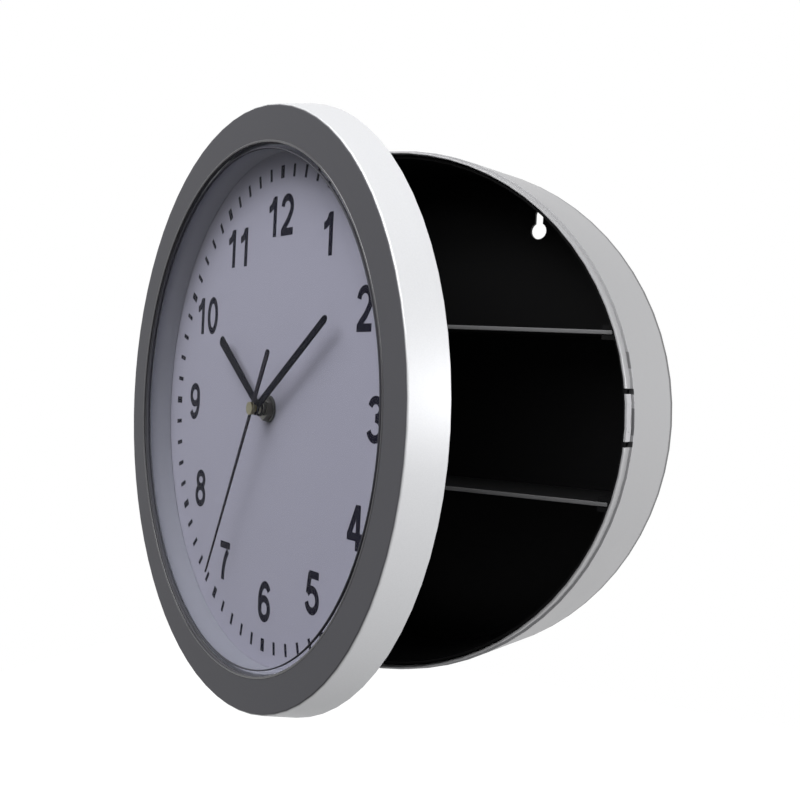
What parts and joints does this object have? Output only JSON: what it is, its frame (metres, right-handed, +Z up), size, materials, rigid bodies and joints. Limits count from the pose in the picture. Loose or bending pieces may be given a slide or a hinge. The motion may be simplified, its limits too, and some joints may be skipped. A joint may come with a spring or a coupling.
{
  "type": "clock diversion safe",
  "caption": "Round wall clock whose face swings open on a side hinge to show a shallow round safe with two shelves.",
  "frame": {"origin": "the centre of the box's flat rear face, which lies on the wall", "axes": "+Y into the wall, out of the box's rear face; the closed clock faces -Y; +Z up, towards twelve; +X towards the catch, with the hinge at -X. At rest the door stands open 29 degrees, as in the picture."},
  "size_m": [0.2567, 0.1931, 0.255],
  "materials": {
    "silver": "silver painted, satin",
    "black_plastic": "moulded, fine grain",
    "clear_plastic": "clear, polished",
    "dial_card": "printed card, matt",
    "hand_paint": "semi-gloss dark paint",
    "brass": "turned",
    "steel": "plain",
    "rubber": "matt",
    "movement_plastic": "moulded",
    "wheel_plastic": "moulded, natural",
    "battery_jacket": "plain printed sleeve",
    "board": "circuit board lacquer",
    "copper": "lacquered copper wire"
  },
  "bodies": {
    "box": {"box_shell": "silver", "box_liner": "black_plastic", "shelf_upper": "black_plastic", "shelf_lower": "black_plastic", "hinge_pin": "steel"},
    "catch": {"catch_tab": "silver"},
    "door": {"door_bezel": "silver", "lens": "clear_plastic", "spacer_ring": "silver", "dial": "dial_card", "door_back": "black_plastic", "movement_plate": "movement_plastic", "movement_case": "movement_plastic", "bushing_washer": "rubber", "bushing_nut": "brass", "battery": "battery_jacket", "contact_plus": "steel", "contact_minus": "steel", "circuit_board": "board", "motor_coil": "copper", "back_screw_1": "steel", "back_screw_2": "steel", "back_screw_3": "steel", "back_screw_4": "steel"},
    "hour_train": {"hour_hand": "hand_paint", "hour_wheel": "wheel_plastic"},
    "minute_train": {"minute_hand": "hand_paint", "cannon_pinion": "brass"},
    "second_train": {"second_hand": "hand_paint", "second_pinion": "steel"},
    "third_train": {"third_wheel": "wheel_plastic"},
    "centre_train": {"centre_wheel": "wheel_plastic"},
    "minute_wheel_train": {"minute_wheel": "wheel_plastic"},
    "setting_train": {"setting_knob": "movement_plastic", "setting_pinion": "wheel_plastic"}
  },
  "joints": [
    {"name": "door_hinge", "type": "hinge", "parent": "box", "child": "door", "pos_m": [-0.131, -0.0547, 0], "axis": [0, 0, -1], "range_deg": [-29, 81]},
    {"name": "catch_flex", "type": "hinge", "parent": "box", "child": "catch", "pos_m": [0.1188, -0.0545, 0.0043], "axis": [0, 0, -1], "range_deg": [0, 3], "stiffness_Nm_per_rad": 0.5},
    {"name": "hour_turn", "type": "hinge", "parent": "door", "child": "hour_train", "pos_m": [-0.02457, -0.1329, 0], "axis": [0.4848, 0.8746, 0], "continuous": true},
    {"name": "minute_turn", "type": "hinge", "parent": "door", "child": "minute_train", "pos_m": [-0.02457, -0.1329, 0], "axis": [0.4848, 0.8746, 0], "continuous": true},
    {"name": "second_turn", "type": "hinge", "parent": "door", "child": "second_train", "pos_m": [-0.02457, -0.1329, 0], "axis": [0.4848, 0.8746, 0], "continuous": true},
    {"name": "third_wheel_turn", "type": "hinge", "parent": "door", "child": "third_train", "pos_m": [-0.01745, -0.13685, 0.00815], "axis": [0.4848, 0.8746, 0], "continuous": true},
    {"name": "centre_wheel_turn", "type": "hinge", "parent": "door", "child": "centre_train", "pos_m": [-0.02457, -0.1329, 0], "axis": [0.4848, 0.8746, 0], "continuous": true},
    {"name": "minute_wheel_turn", "type": "hinge", "parent": "door", "child": "minute_wheel_train", "pos_m": [-0.02952, -0.13016, 0.00566], "axis": [0.4848, 0.8746, 0], "continuous": true},
    {"name": "setting_turn", "type": "hinge", "parent": "door", "child": "setting_train", "pos_m": [-0.03471, -0.12728, 0.0116], "axis": [0.4848, 0.8746, 0], "continuous": true}
  ],
  "couplings": [
    {"joint": "minute_wheel_turn", "follows": "minute_turn", "ratio": -0.33333},
    {"joint": "hour_turn", "follows": "minute_turn", "ratio": 0.083333},
    {"joint": "setting_turn", "follows": "minute_turn", "ratio": 0.83333},
    {"joint": "third_wheel_turn", "follows": "second_turn", "ratio": -0.13333},
    {"joint": "centre_wheel_turn", "follows": "second_turn", "ratio": 0.016667}
  ]
}
